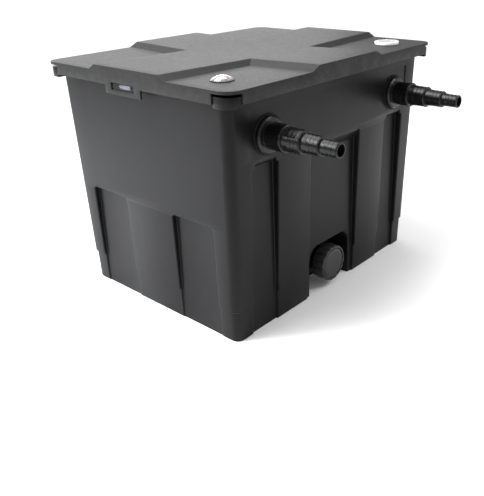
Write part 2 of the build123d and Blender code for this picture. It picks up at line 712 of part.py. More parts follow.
with BuildPart() as indicator_float:
    with BuildSketch(dome_plane.offset(0.9)):
        Circle(8.0)
    extrude(amount=1.4)
    with BuildSketch(dome_plane.offset(-44.0)):
        Circle(2.5)
    extrude(amount=45.0)
    with BuildSketch(dome_plane.offset(-46.0)):
        Circle(8.5)
    extrude(amount=2.5)
indicator_float.part.label = "indicator_float"

for piece in (
    filter_box, lid, inlet_elbow, outlet_strainer, drain_spout, drain_lock_nut, drain_cap,
    ceramic_rings, bio_balls, thermometer_bezel, thermometer_dial, thermometer_pointer,
    thermometer_lens, thermometer_probe, indicator_gasket, indicator_dome, indicator_guide,
    indicator_float,
):
    export_step(piece.part, f"parts/{piece.part.label}.step")
export_step(drain_seal, "parts/drain_seal.step")
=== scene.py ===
"""Visual model of the flow-through pond filter box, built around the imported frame.

Units are metres, in the frame's own axes: +Z up, -Y is the side with the hose tails.
"""

import json
import math
import random

import bmesh
import bpy
from mathutils import Euler, Matrix, Vector


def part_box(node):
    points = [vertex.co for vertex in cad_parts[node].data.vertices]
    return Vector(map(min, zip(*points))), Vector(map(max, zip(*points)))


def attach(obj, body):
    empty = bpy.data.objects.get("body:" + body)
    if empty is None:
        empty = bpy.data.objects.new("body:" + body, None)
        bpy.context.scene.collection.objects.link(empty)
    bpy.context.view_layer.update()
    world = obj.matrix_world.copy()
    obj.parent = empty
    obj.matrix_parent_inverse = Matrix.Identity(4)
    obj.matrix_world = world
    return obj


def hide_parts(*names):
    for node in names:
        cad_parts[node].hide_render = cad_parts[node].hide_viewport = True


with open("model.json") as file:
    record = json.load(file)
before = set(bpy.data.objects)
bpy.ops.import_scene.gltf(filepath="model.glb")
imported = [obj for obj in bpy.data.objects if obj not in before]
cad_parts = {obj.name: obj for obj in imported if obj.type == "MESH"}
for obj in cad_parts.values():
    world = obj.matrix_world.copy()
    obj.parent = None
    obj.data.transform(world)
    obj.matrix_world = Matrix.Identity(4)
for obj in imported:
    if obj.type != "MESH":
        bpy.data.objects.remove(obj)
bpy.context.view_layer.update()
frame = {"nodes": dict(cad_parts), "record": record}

# ---------------------------------------------------------------- dimensions
TUB_FOOT = (0.2740, 0.2087)
TUB_TOP = (0.2842, 0.2195)
TUB_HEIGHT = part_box("filter_box")[1].z
TUB_CORNER = 0.018
WALL = 0.004
BAND_TOP = 0.060
BAND_INSET = 0.003
RIM_HALF = (0.2945, 0.2360)
RIM_Z = (0.431, 0.441)
RIM_CORNER = 0.0205
CHANNELS = ((-0.198, 0.033, 0.007), (0.0, 0.076, 0.026), (0.198, 0.033, 0.007))
CHANNEL_FLOOR = 0.2016
CHANNEL_TOP = 0.318
PANELS = ((-0.1155, 0.051, 0.005), (0.1155, 0.051, 0.005))
PANEL_FLOOR = 0.2686
PANEL_TOP = 0.212
RECESS_CORNER = 0.007
# The drafted wall meets the sloping tops of the front recesses at about this height.
CHANNEL_EDGE = 0.3133
PAD_HALF = 0.236
PAD_FACE = 0.2166
PAD_TOP = 0.411
HOLE_RADIUS = {"hose": 0.0215, "drain": 0.0283}
NICHE_HALF = 0.064
NICHE_TOP = 0.102
NICHE_CORNER = 0.030
NICHE_BACK = 0.150

# Middles of the hose tails, the drain and the thermometer, from the frame.
INLET = sum(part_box("inlet_seal"), Vector()) / 2
OUTLET = sum(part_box("outlet_seal"), Vector()) / 2
DRAIN = sum(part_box("drain_cap"), Vector()) / 2
THERMO = sum(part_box("thermometer_bezel"), Vector()) / 2

# Sag of the lid's middle, which the moulded sheet takes on in the sun.
LID_HALF = (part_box("lid")[1].x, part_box("lid")[1].y)
LID_SAG = 0.006
LID_UPPER = 0.4465


# ---------------------------------------------------------------- materials
class Nodes:
    """A material's node tree, with short calls to add and join nodes."""

    def __init__(self, name):
        self.material = bpy.data.materials.new(name)
        self.material.use_nodes = True
        self.tree = self.material.node_tree
        self.shader = self.tree.nodes["Principled BSDF"]
        self.place = self.add("ShaderNodeTexCoord").outputs["Object"]

    def add(self, kind, **values):
        node = self.tree.nodes.new(kind)
        for key, value in values.items():
            if hasattr(node, key):
                setattr(node, key, value)
            else:
                node.inputs[key.replace("_", " ")].default_value = value
        return node

    def join(self, output, target):
        self.tree.links.new(output, target)

    def scaled(self, scale):
        """Object coordinates stretched by a scale for each axis."""
        mapping = self.add("ShaderNodeMapping")
        mapping.inputs["Scale"].default_value = scale
        self.join(self.place, mapping.inputs["Vector"])
        return mapping.outputs["Vector"]

    def noise(self, scale, detail=3.0, rough=0.55, place=None):
        node = self.add("ShaderNodeTexNoise", Scale=scale, Detail=detail, Roughness=rough)
        self.join(place or self.place, node.inputs["Vector"])
        return node.outputs["Fac"]

    def ramp(self, value, stops):
        """Colour or grey between stops given as (position, colour)."""
        node = self.add("ShaderNodeValToRGB")
        elements = node.color_ramp.elements
        while len(elements) < len(stops):
            elements.new(0.5)
        for element, (position, colour) in zip(elements, stops):
            element.position = position
            element.color = (*colour, 1.0) if len(colour) == 3 else colour
        self.join(value, node.inputs["Fac"])
        return node.outputs["Color"]

    def mix(self, factor, first, second, blend="MIX"):
        node = self.add("ShaderNodeMix", data_type="RGBA", blend_type=blend)
        for source, socket in ((factor, 0), (first, 6), (second, 7)):
            if isinstance(source, bpy.types.NodeSocket):
                self.join(source, node.inputs[socket])
            elif socket == 0:
                node.inputs[0].default_value = source
            else:
                node.inputs[socket].default_value = (*source, 1.0)
        return node.outputs[2]

    def bump(self, height, strength, distance, base=None):
        node = self.add("ShaderNodeBump", Strength=strength, Distance=distance)
        self.join(height, node.inputs["Height"])
        if base is not None:
            self.join(base, node.inputs["Normal"])
        return node.outputs["Normal"]

    def grey(self, value, low, high):
        """A noise value spread over a range of roughness."""
        node = self.add("ShaderNodeMapRange")
        node.inputs["From Min"].default_value = 0.3
        node.inputs["From Max"].default_value = 0.7
        node.inputs["To Min"].default_value = low
        node.inputs["To Max"].default_value = high
        self.join(value, node.inputs["Value"])
        return node.outputs["Result"]

    def worn_edges(self, colour, edge_colour, amount):
        """Lightens the convex edges, broken up by noise."""
        point = self.add("ShaderNodeNewGeometry").outputs["Pointiness"]
        edge = self.ramp(point, ((0.50, (0, 0, 0)), (0.58, (1, 1, 1))))
        patchy = self.ramp(self.noise(60.0), ((0.35, (0, 0, 0)), (0.70, (amount,) * 3)))
        factor = self.mix(1.0, edge, patchy, "MULTIPLY")
        return self.mix(factor, colour, edge_colour)


def moulded_plastic(name, dark, light, rough, grain, grain_scale=900.0, streaks=0.0, gloss=0.5):
    """Injection-moulded plastic: fine grain, soft colour clouds and lightly rubbed edges.

    The walls get most of their tone from sheen, so the base colour is nearly black there.
    """
    m = Nodes(name)
    cloud = m.noise(7.0, 4.0)
    colour = m.mix(m.ramp(cloud, ((0.35, (0, 0, 0)), (0.68, (1, 1, 1)))), dark, light)
    mottle = m.noise(150.0, 6.0, 0.65)
    if streaks:
        streak = m.noise(1.0, 3.0, 0.6, m.scaled((46.0, 46.0, 2.0)))
        mottle = m.mix(streaks, mottle, streak)
    edge = tuple(min(1.0, value * 1.7 + 0.006) for value in light)
    m.join(m.worn_edges(colour, edge, 0.5), m.shader.inputs["Base Color"])
    m.join(m.grey(mottle, rough - 0.05, rough + 0.05), m.shader.inputs["Roughness"])
    fine = m.bump(m.noise(grain_scale, 2.0), grain, 0.0004)
    wavy = m.bump(m.noise(9.0, 2.0), 0.04, 0.004, fine)
    m.join(wavy, m.shader.inputs["Normal"])
    m.shader.inputs["Specular IOR Level"].default_value = gloss
    return m.material


def rubber(name):
    m = Nodes(name)
    colour = m.ramp(m.noise(90.0, 4.0), ((0.3, (0.002,) * 3), (0.7, (0.004,) * 3)))
    m.join(colour, m.shader.inputs["Base Color"])
    m.shader.inputs["Specular IOR Level"].default_value = 0.2
    m.join(m.grey(m.noise(160.0), 0.62, 0.78), m.shader.inputs["Roughness"])
    m.join(m.bump(m.noise(1400.0), 0.25, 0.0003), m.shader.inputs["Normal"])
    return m.material


def foam(name, dark, light, pores):
    """Open-cell foam: bright struts with painted shade in the pores between them, at two sizes.
    """
    m = Nodes(name)
    cells = m.add("ShaderNodeTexVoronoi", feature="DISTANCE_TO_EDGE", Scale=pores)
    m.join(m.place, cells.inputs["Vector"])
    strut = m.ramp(cells.outputs["Distance"], ((0.02, (1, 1, 1)), (0.16, (0, 0, 0))))
    small = m.noise(pores * 2.3, 3.0)
    # Painted shade: the pores between the struts are coloured at 16% of the foam's dark tone.
    painted_pore_shade = tuple(value * 0.16 for value in dark)
    tone = m.mix(m.ramp(small, ((0.3, (0, 0, 0)), (0.7, (1, 1, 1)))), dark, light)
    m.join(m.mix(strut, painted_pore_shade, tone), m.shader.inputs["Base Color"])
    m.shader.inputs["Roughness"].default_value = 0.92
    m.shader.inputs["Sheen Weight"].default_value = 0.15
    coarse = m.bump(strut, 0.9, 0.0015)
    m.join(m.bump(small, 0.4, 0.0006, coarse), m.shader.inputs["Normal"])
    return m.material


def ceramic(name):
    m = Nodes(name)
    speck = m.noise(420.0, 5.0, 0.7)
    colour = m.ramp(speck, ((0.30, (0.36, 0.30, 0.22)), (0.52, (0.62, 0.56, 0.46)),
                            (0.75, (0.78, 0.73, 0.64))))
    m.join(colour, m.shader.inputs["Base Color"])
    m.shader.inputs["Roughness"].default_value = 0.88
    m.join(m.bump(speck, 0.7, 0.0010), m.shader.inputs["Normal"])
    return m.material


def clear_plastic(name, tint, rough):
    """Clear moulded plastic with faint flow lines and fine scratches in its gloss."""
    m = Nodes(name)
    m.shader.inputs["Transmission Weight"].default_value = 0.86
    m.shader.inputs["IOR"].default_value = 1.49
    haze = m.noise(70.0, 4.0)
    m.join(m.mix(m.ramp(haze, ((0.4, (0, 0, 0)), (0.8, (1, 1, 1)))), tint, (0.97, 0.97, 0.97)),
           m.shader.inputs["Base Color"])
    m.join(m.grey(m.noise(300.0, 4.0), rough, rough + 0.08), m.shader.inputs["Roughness"])
    m.join(m.bump(m.noise(160.0), 0.05, 0.0002), m.shader.inputs["Normal"])
    return m.material


MATERIALS = {
    "tub_plastic": moulded_plastic(
        "tub_plastic", (0.0034, 0.0034, 0.0037), (0.0043, 0.0043, 0.0045),
        0.36, 0.16, 700.0, 0.5, 0.145),
    "lid_plastic": moulded_plastic(
        "lid_plastic", (0.0120, 0.0120, 0.0119), (0.0165, 0.0165, 0.0160),
        0.47, 0.9, 420.0, 0.0, 0.15),
    "catch_plastic": moulded_plastic(
        "catch_plastic", (0.12, 0.12, 0.14), (0.16, 0.16, 0.185), 0.20, 0.04, 500.0),
    "fitting_plastic": moulded_plastic(
        "fitting_plastic", (0.003, 0.003, 0.0032), (0.005, 0.005, 0.0052),
        0.25, 0.05, 800.0, 0.0, 0.24),
    "inner_plastic": moulded_plastic(
        "inner_plastic", (0.020, 0.020, 0.022), (0.030, 0.030, 0.032), 0.46, 0.12),
    "cap_plastic": moulded_plastic(
        "cap_plastic", (0.012, 0.012, 0.012), (0.015, 0.015, 0.015),
        0.36, 0.06, 900.0, 0.0, 0.42),
    "rod_plastic": moulded_plastic(
        "rod_plastic", (0.48, 0.075, 0.03), (0.60, 0.12, 0.05), 0.40, 0.10),
    "ball_plastic": moulded_plastic(
        "ball_plastic", (0.030, 0.032, 0.040), (0.055, 0.057, 0.068), 0.44, 0.10),
    "dial_white": moulded_plastic(
        "dial_white", (0.84, 0.84, 0.83), (0.92, 0.92, 0.91), 0.30, 0.04),
    "pointer_red": moulded_plastic(
        "pointer_red", (0.58, 0.02, 0.015), (0.68, 0.04, 0.03), 0.30, 0.04),
    "float_red": moulded_plastic(
        "float_red", (0.66, 0.05, 0.04), (0.78, 0.10, 0.08), 0.30, 0.04),
    "seal_rubber": rubber("seal_rubber"),
    "foam_open": foam("foam_open", (0.02, 0.09, 0.26), (0.05, 0.17, 0.42), 260.0),
    "foam_dense": foam("foam_dense", (0.04, 0.04, 0.045), (0.09, 0.09, 0.10), 430.0),
    "ring_ceramic": ceramic("ring_ceramic"),
    "clear_lens": clear_plastic("clear_lens", (0.93, 0.95, 0.96), 0.03),
}
SLOT_OF = {entry["node"]: entry["material_slot"] for entry in frame["record"]["subparts"]}
BODY_OF = {
    node: body
    for body, members in frame["record"]["behaviour"]["bodies"].items()
    for node in members
}


# ---------------------------------------------------------------- mesh helpers
def link(name, data):
    """Puts a new object with this data into the scene."""
    piece = bpy.data.objects.new(name, data)
    bpy.context.scene.collection.objects.link(piece)
    return piece


def add_piece(name, mesh, node, smooth_angle=35.0):
    """Makes the object that stands for one CAD node: same body, same material slot."""
    for polygon in mesh.polygons:
        polygon.use_smooth = True
    piece = link(name, mesh)
    piece.data.materials.clear()
    piece.data.materials.append(MATERIALS[SLOT_OF[node]])
    mark_sharp(mesh, smooth_angle)
    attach(piece, BODY_OF[node])
    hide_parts(node)
    return piece


def mark_sharp(mesh, angle):
    """Splits the shading at edges sharper than the angle, in degrees."""
    work = bmesh.new()
    work.from_mesh(mesh)
    for edge in work.edges:
        if len(edge.link_faces) == 2:
            edge.smooth = edge.calc_face_angle(0.0) < math.radians(angle)
    work.to_mesh(mesh)
    work.free()


def welded_copy(node):
    """The CAD node's mesh in a bmesh, its doubled corners joined and flat faces made whole."""
    work = bmesh.new()
    work.from_mesh(frame["nodes"][node].data)
    bmesh.ops.remove_doubles(work, verts=work.verts, dist=1e-6)
    bmesh.ops.dissolve_limit(
        work, angle_limit=math.radians(1.0), verts=work.verts, edges=work.edges,
        delimit={"NORMAL"})
    return work


def round_edges(work, width, angle=32.0, segments=2):
    """Rounds every edge sharper than the angle."""
    sharp = [
        edge for edge in work.edges
        if len(edge.link_faces) == 2 and edge.calc_face_angle(0.0) > math.radians(angle)
    ]
    bmesh.ops.bevel(
        work, geom=sharp, offset=width, segments=segments, profile=0.5, affect="EDGES",
        clamp_overlap=True)


def rounded_piece(node, width):
    """Finer version of a CAD node, with its edges rounded as moulded."""
    work = welded_copy(node)
    round_edges(work, width)
    add_piece(node + "_fine", finished(node + "_fine", work), node)


def finished(name, work):
    """The bmesh as a mesh; the bmesh is used up."""
    mesh = bpy.data.meshes.new(name)
    work.to_mesh(mesh)
    work.free()
    return mesh


def mesh_from(name, work):
    """The bmesh as a mesh, with its doubled corners joined and its faces turned outwards."""
    bmesh.ops.remove_doubles(work, verts=work.verts, dist=2e-6)
    bmesh.ops.recalc_face_normals(work, faces=work.faces)
    return finished(name, work)


def join_rings(work, rings):
    """Faces between each ring of points and the next."""
    for first, second in zip(rings, rings[1:]):
        for step in range(len(first)):
            after = (step + 1) % len(first)
            work.faces.new((first[step], first[after], second[after], second[step]))


def cut_across(work, axis, place):
    """Cuts every face along one plane square to an axis, so the mesh can bend there."""
    point, normal = Vector(), Vector()
    point[axis] = place
    normal[axis] = 1.0
    bmesh.ops.bisect_plane(
        work, geom=work.verts[:] + work.edges[:] + work.faces[:], plane_co=point,
        plane_no=normal, dist=1e-6)


def turned(work, profile, centre, steps=96, along="-Y"):
    """Adds a surface turned from (radius, distance) points about an axis through the centre."""
    rings = []
    for radius, distance in profile:
        ring = []
        for step in range(steps):
            angle = 2 * math.pi * step / steps
            across, up = radius * math.cos(angle), radius * math.sin(angle)
            if along == "-Y":
                place = (centre.x + across, -distance, centre.z + up)
            else:
                place = (centre.x + across, centre.y + up, distance)
            ring.append(work.verts.new(place))
        rings.append(ring)
    join_rings(work, rings + rings[:1])


# ---------------------------------------------------------------- tub
ARC_POINTS = 5
OUTER_FILLET = 0.0024
INNER_FILLET = 0.0016


def wall_step(x, from_depth, to_depth):
    """Points of one rounded step in a wall: (place along the wall, depth below its face)."""
    rise = abs(to_depth - from_depth)
    outer = min(OUTER_FILLET, rise / 2)
    inner = min(INNER_FILLET, rise / 2)
    low = min(from_depth, to_depth)
    points = []
    for index in range(ARC_POINTS):
        angle = math.pi / 2 * index / (ARC_POINTS - 1)
        points.append((-outer + outer * math.sin(angle), low + outer - outer * math.cos(angle)))
    for index in range(ARC_POINTS):
        angle = math.pi / 2 * index / (ARC_POINTS - 1)
        points.append(
            (inner - inner * math.cos(angle), low + rise - inner + inner * math.sin(angle)))
    if to_depth < from_depth:
        points = [(-across, depth) for across, depth in reversed(points)]
    return [(x + across, depth) for across, depth in points]


def recess_depth(half, z, floor, top, slope, wall_at_top, grow):
    """Depth of a recess below the wall's face at height z, its sloping ceiling softly rounded."""
    depth = 0.0
    for shift in (-0.0015, -0.0005, 0.0005, 0.0015):
        above = max(0.0, z + shift - (top - slope) - grow)
        face = floor + above * (wall_at_top - floor) / slope
        depth += max(0.0, half - (face - grow)) / 4
    return depth


def corner_shrink(z, top):
    """How far a recess's side has moved in at height z, by its rounded upper corner."""
    above = min(RECESS_CORNER, max(0.0, z - (top - RECESS_CORNER)))
    return RECESS_CORNER - math.sqrt(RECESS_CORNER**2 - above**2)


def front_steps(z, half_y, grow, front):
    """Steps of the front or back wall at height z, in order of x."""
    pad = 0.0
    if front and z <= PAD_TOP + grow:
        pad = max(0.0, half_y - PAD_FACE + grow)
    shrink = corner_shrink(z - grow, CHANNEL_EDGE)
    niche_half, niche = NICHE_HALF + grow, 0.0
    if front and z <= NICHE_TOP + grow:
        niche = CHANNEL_FLOOR - grow - (NICHE_BACK - grow)
        corner = NICHE_CORNER + grow
        above = z - (NICHE_TOP + grow - corner)
        if above > 0:
            niche_half += math.sqrt(max(0.0, corner**2 - above**2)) - corner
    steps = [(-PAD_HALF - grow, 0.0, pad)]
    for middle, half, slope in CHANNELS:
        low, high = middle - half - grow + shrink, middle + half + grow - shrink
        depth = recess_depth(half_y, z, CHANNEL_FLOOR, CHANNEL_TOP, slope, TUB_TOP[1], grow)
        bottom = max(pad, depth)
        steps.append((low, pad, bottom))
        if middle == 0.0:
            steps.append((-niche_half, bottom, bottom + niche))
            steps.append((niche_half, bottom + niche, bottom))
        steps.append((high, bottom, pad))
    steps.append((PAD_HALF + grow, pad, 0.0))
    return steps


def side_steps(z, half_x, grow):
    """Steps of the left or right wall at height z, in order along the wall."""
    wall_at_top = TUB_FOOT[0] + (TUB_TOP[0] - TUB_FOOT[0]) * PANEL_TOP / TUB_HEIGHT
    shrink = corner_shrink(z - grow, PANEL_TOP)
    steps = []
    for middle, half, slope in PANELS:
        depth = recess_depth(half_x, z, PANEL_FLOOR, PANEL_TOP, slope, wall_at_top, grow)
        steps.append((middle - half - grow + shrink, 0.0, depth))
        steps.append((middle + half + grow - shrink, depth, 0.0))
    return steps


def outline(z, half, corner, grow=0.0, plain=False, niche_open=True):
    """One closed section of the tub: always the same number of points."""
    half_x, half_y = half
    points = []
    walls = (
        (front_steps(z, half_y, grow, True), lambda along, depth: (along, -half_y + depth)),
        (side_steps(z, half_x, grow), lambda along, depth: (half_x - depth, along)),
        (front_steps(z, half_y, grow, False), lambda along, depth: (-along, half_y - depth)),
        (side_steps(z, half_x, grow), lambda along, depth: (-half_x + depth, -along)),
    )
    corners = (
        (half_x - corner, -half_y + corner, -90.0),
        (half_x - corner, half_y - corner, 0.0),
        (-half_x + corner, half_y - corner, 90.0),
        (-half_x + corner, -half_y + corner, 180.0),
    )
    for (steps, place), (corner_x, corner_y, start) in zip(walls, corners):
        for x, from_depth, to_depth in steps:
            if plain:
                from_depth = to_depth = 0.0
            elif not niche_open:
                limit = max(0.0, half_y - CHANNEL_FLOOR + grow)
                if abs(x) < NICHE_HALF + grow + 1e-6:
                    from_depth, to_depth = min(from_depth, limit), min(to_depth, limit)
            for along, depth in wall_step(x, from_depth, to_depth):
                points.append((*place(along, depth), z))
        for index in range(9):
            angle = math.radians(start + 90.0 * index / 8)
            points.append(
                (corner_x + corner * math.cos(angle), corner_y + corner * math.sin(angle), z))
    return points


def drafted_half(z, inset):
    share = z / TUB_HEIGHT
    return tuple(
        foot + (top - foot) * share - inset for foot, top in zip(TUB_FOOT, TUB_TOP))


def heights(low, high, pitch, marks):
    """Heights from low to high at about one pitch, with every mark among them."""
    stops = sorted({low, high, *(mark for mark in marks if low < mark < high)})
    result = []
    for first, second in zip(stops, stops[1:]):
        count = max(1, math.ceil((second - first) / pitch))
        result += [first + (second - first) * index / count for index in range(count)]
    return result + [high]


def tub_rows():
    """Sections of the tub's whole skin: up the outside, over the rim and down the inside."""
    rows = []
    arch = [NICHE_TOP - NICHE_CORNER * (1 - math.sin(math.radians(a))) for a in range(0, 91, 9)]
    band = [BAND_TOP - 0.0015, BAND_TOP - 0.0007, BAND_TOP, BAND_TOP + 0.0007]
    marks = [*arch, *band, 0.328, PAD_TOP, 0.0015]
    for top, spans in ((PANEL_TOP, PANELS), (CHANNEL_TOP, CHANNELS)):
        edges = {top - slope for _, _, slope in spans} | {PANEL_TOP, CHANNEL_EDGE}
        marks += [
            edge + shift for edge in edges for shift in (-0.0018, -0.0010, 0.0, 0.0010, 0.0018)]
    for edge in (PANEL_TOP, CHANNEL_EDGE):
        marks += [
            edge - RECESS_CORNER * (1 - math.sin(math.radians(a))) for a in range(0, 90, 15)]
    for z in heights(0.0, RIM_Z[0], 0.012, marks):
        inset = BAND_INSET * (1.0 - min(1.0, max(0.0, (z - BAND_TOP + 0.0015) / 0.0022)))
        inset += max(0.0, 0.0015 - z)
        corner = TUB_CORNER - min(inset, WALL)
        rows.append(outline(z, drafted_half(z, inset), corner))
        if abs(z - NICHE_TOP) < 1e-9:
            rows.append(outline(z, drafted_half(z, inset), corner, niche_open=False))
        if z == PAD_TOP:
            rows.append(outline(z, drafted_half(z, inset), corner, plain=True))
    rounding = 0.001
    for z, inset in ((RIM_Z[0], rounding), (RIM_Z[0] + rounding, 0.0),
                     (RIM_Z[1] - rounding, 0.0), (RIM_Z[1], rounding)):
        rim = tuple(value - inset for value in RIM_HALF)
        rows.append(outline(z, rim, RIM_CORNER - inset, plain=True))
    for z, inset in ((RIM_Z[1], 0.0), (TUB_HEIGHT - rounding, 0.0), (TUB_HEIGHT, rounding),
                     (TUB_HEIGHT, WALL - rounding), (TUB_HEIGHT - rounding, WALL)):
        rows.append(outline(z, drafted_half(z, inset), TUB_CORNER - inset, plain=True))
    inner_marks = [mark + WALL for mark in marks if mark > WALL]
    inner_marks += [BAND_TOP + WALL, BAND_TOP + WALL - 0.0005]
    for z in reversed(heights(WALL, TUB_HEIGHT - 2 * rounding, 0.016, inner_marks)):
        inset = WALL if z >= BAND_TOP + WALL else WALL + BAND_INSET
        rows.append(outline(z, drafted_half(z, inset), TUB_CORNER - WALL, grow=WALL))
    return rows


def build_tub():
    work = bmesh.new()
    rings = [[work.verts.new(point) for point in row] for row in tub_rows()]
    join_rings(work, rings)
    work.faces.new(list(reversed(rings[0])))
    work.faces.new(rings[-1])
    bmesh.ops.remove_doubles(work, verts=work.verts, dist=2e-6)
    bmesh.ops.dissolve_degenerate(work, edges=work.edges, dist=1e-6)
    bmesh.ops.triangulate(work, faces=[face for face in work.faces if len(face.verts) > 4])
    shell = add_piece("tub_shell", mesh_from("tub_shell", work), "filter_box", 40.0)
    bore_holes(shell)
    return shell


def bore_holes(shell):
    """Cuts the holes of the two hose tails and the drain through the wall."""
    work = bmesh.new()
    for centre, radius, near, far in (
            (INLET, HOLE_RADIUS["hose"], 0.19, 0.24), (OUTLET, HOLE_RADIUS["hose"], 0.19, 0.24),
            (DRAIN, HOLE_RADIUS["drain"], 0.13, 0.17)):
        turned(work, ((0.0004, near), (radius, near), (radius, far), (0.0004, far)), centre, 48)
    cutter = link("hole_cutter", mesh_from("hole_cutter", work))
    cut = shell.modifiers.new("holes", "BOOLEAN")
    cut.object = cutter
    cut.operation = "DIFFERENCE"
    cut.solver = "EXACT"
    graph = bpy.context.evaluated_depsgraph_get()
    holed = bpy.data.meshes.new_from_object(shell.evaluated_get(graph), depsgraph=graph)
    shell.modifiers.clear()
    shell.data = holed
    bpy.data.objects.remove(cutter)


def block(work, low, high):
    """Adds a closed box between two corners."""
    made = bmesh.ops.create_cube(work, size=1.0)["verts"]
    for vertex in made:
        for axis in range(3):
            vertex.co[axis] = low[axis] if vertex.co[axis] < 0 else high[axis]
    return made


def build_tub_details():
    """Corner lugs below the rim, and the guide ribs that hold the partitions."""
    work = bmesh.new()
    lug_x, lug_y, reach_x, reach_y = 0.298, 0.2395, 0.026, 0.035
    corner, lug_bottom, lug_top = 0.024, 0.4245, RIM_Z[1] + 0.0012
    for side_x in (-1, 1):
        for side_y in (-1, 1):
            shape = [(lug_x - reach_x, lug_y - 0.024), (lug_x - reach_x, lug_y)]
            for index in range(9):
                angle = math.radians(90 - 90 * index / 8)
                shape.append((lug_x - corner + corner * math.cos(angle),
                              lug_y - corner + corner * math.sin(angle)))
            shape += [(lug_x, lug_y - reach_y), (lug_x - 0.017, lug_y - reach_y)]
            rings = [
                [work.verts.new((side_x * x, side_y * y, z)) for x, y in shape]
                for z in (lug_bottom, lug_top)
            ]
            join_rings(work, rings)
            for ring in rings:
                work.faces.new(ring)
    for side in (-1, 1):
        for face in (-1, 1):
            middle = side * 0.100 + face * 0.004
            for wall_side in (-1, 1):
                made = block(work, (middle - 0.0015, -1.0, WALL), (middle + 0.0015, 1.0, 0.400))
                for vertex in made:
                    top = vertex.co.z > 0.2
                    outer = vertex.co.y > 0
                    reach = (0.2155 if top else 0.2030) if outer else (0.206 if top else 0.196)
                    vertex.co.y = wall_side * reach
    bmesh.ops.recalc_face_normals(work, faces=work.faces)
    round_edges(work, 0.0007)
    return work


def build_tub_piece():
    shell = build_tub()
    work = bmesh.new()
    work.from_mesh(shell.data)
    work.from_mesh(finished("tub_details", build_tub_details()))
    for face in work.faces:
        face.smooth = True
    work.to_mesh(shell.data)
    work.free()
    mark_sharp(shell.data, 40.0)


build_tub_piece()


# ---------------------------------------------------------------- lid
def lid_sag(x, y):
    """How far the lid's middle has sunk at a point."""
    across = max(0.0, 1.0 - (x / LID_HALF[0]) ** 2)
    along = max(0.0, 1.0 - (y / LID_HALF[1]) ** 2)
    return LID_SAG * (across * along) ** 1.6


def build_lid():
    """The lid with rounded edges, cut finely enough for its middle to sag smoothly."""
    work = welded_copy("lid")
    round_edges(work, 0.0011, angle=18.0, segments=3)
    pitch = 0.015
    for axis, half in ((0, LID_HALF[0]), (1, LID_HALF[1])):
        count = int(half / pitch)
        for index in range(-count, count + 1):
            cut_across(work, axis, index * pitch)
    for vertex in work.verts:
        if vertex.co.z > LID_UPPER:
            vertex.co.z -= lid_sag(vertex.co.x, vertex.co.y)
    add_piece("lid_shell", finished("lid_shell", work), "lid", 50.0)


build_lid()


# ---------------------------------------------------------------- hose tails
TAIL_STEPS = ((0.0200, 0.2960), (0.0160, 0.3295), (0.0125, 0.3610))
TAIL_BORES = ((0.0170, 0.2910), (0.0132, 0.3250), (0.0097, 0.3610))
TAIL_FLANGE = 0.032
TAIL_BARREL = 0.0225
TAIL_BARREL_END = 0.261
TAIL_THREAD = 0.021
TAIL_INNER_END = 0.189
SEAL_THICK = 0.002
SEAL_RADIUS = 0.035
BARB_DEPTH = 0.0009
BARBS = 3


def softened(profile, radius):
    """Replaces each corner of a turned profile by a short curve."""
    result = []
    count = len(profile)
    for index, point in enumerate(profile):
        before, here, after = (Vector(profile[(index + step) % count]) for step in (-1, 0, 1))
        reach_in = min(radius, (before - here).length * 0.42)
        reach_out = min(radius, (after - here).length * 0.42)
        start = here + (before - here).normalized() * reach_in
        end = here + (after - here).normalized() * reach_out
        for share in (0.0, 0.33, 0.67, 1.0):
            point = start.lerp(here, share).lerp(here.lerp(end, share), share)
            result.append(tuple(point))
    return result


def tail_profile():
    """Outside and bore of a hose tail, as (radius, distance) points."""
    front = PAD_FACE + SEAL_THICK
    outside = [
        (TAIL_THREAD, TAIL_INNER_END), (TAIL_THREAD, front), (TAIL_FLANGE, front),
        (TAIL_FLANGE, front + 0.005), (TAIL_FLANGE - 0.003, front + 0.008),
        (TAIL_BARREL, front + 0.008), (TAIL_BARREL, TAIL_BARREL_END - 0.006),
        (TAIL_BARREL + 0.0012, TAIL_BARREL_END - 0.005),
        (TAIL_BARREL + 0.0012, TAIL_BARREL_END - 0.001),
        (TAIL_BARREL, TAIL_BARREL_END),
    ]
    start = TAIL_BARREL_END
    for radius, end in TAIL_STEPS:
        land_end = end - 0.024
        outside += [(radius, start), (radius, land_end)]
        for barb in range(BARBS):
            root = land_end + 0.007 * barb
            outside += [(radius - BARB_DEPTH, root + 0.0062), (radius, root + 0.007)]
        outside += [(radius, end - 0.002), (radius - 0.001, end)]
        start = end
    bore = [TAIL_BORES[2]]
    for narrow, wide in ((2, 1), (1, 0)):
        bore.append((TAIL_BORES[narrow][0], TAIL_BORES[wide][1]))
        bore.append((TAIL_BORES[wide][0], TAIL_BORES[wide][1] - 0.004))
    bore.append((TAIL_BORES[0][0], TAIL_INNER_END))
    return outside + bore


def turned_piece(name, node, profile, centre, rounding, steps=96, along="-Y"):
    """A turned shape with softened corners, standing for one CAD node."""
    work = bmesh.new()
    turned(work, softened(profile, rounding), centre, steps, along)
    add_piece(name, mesh_from(name, work), node)


for place, side in ((INLET, "inlet"), (OUTLET, "outlet")):
    turned_piece(f"{side}_tail", f"{side}_hose_tail", tail_profile(), place, 0.0005)
    washer = (
        (TAIL_THREAD + 0.0001, PAD_FACE), (SEAL_RADIUS, PAD_FACE),
        (SEAL_RADIUS, PAD_FACE + SEAL_THICK),
        (TAIL_THREAD + 0.0001, PAD_FACE + SEAL_THICK))
    turned_piece(f"{side}_washer", f"{side}_seal", washer, place, 0.0011)


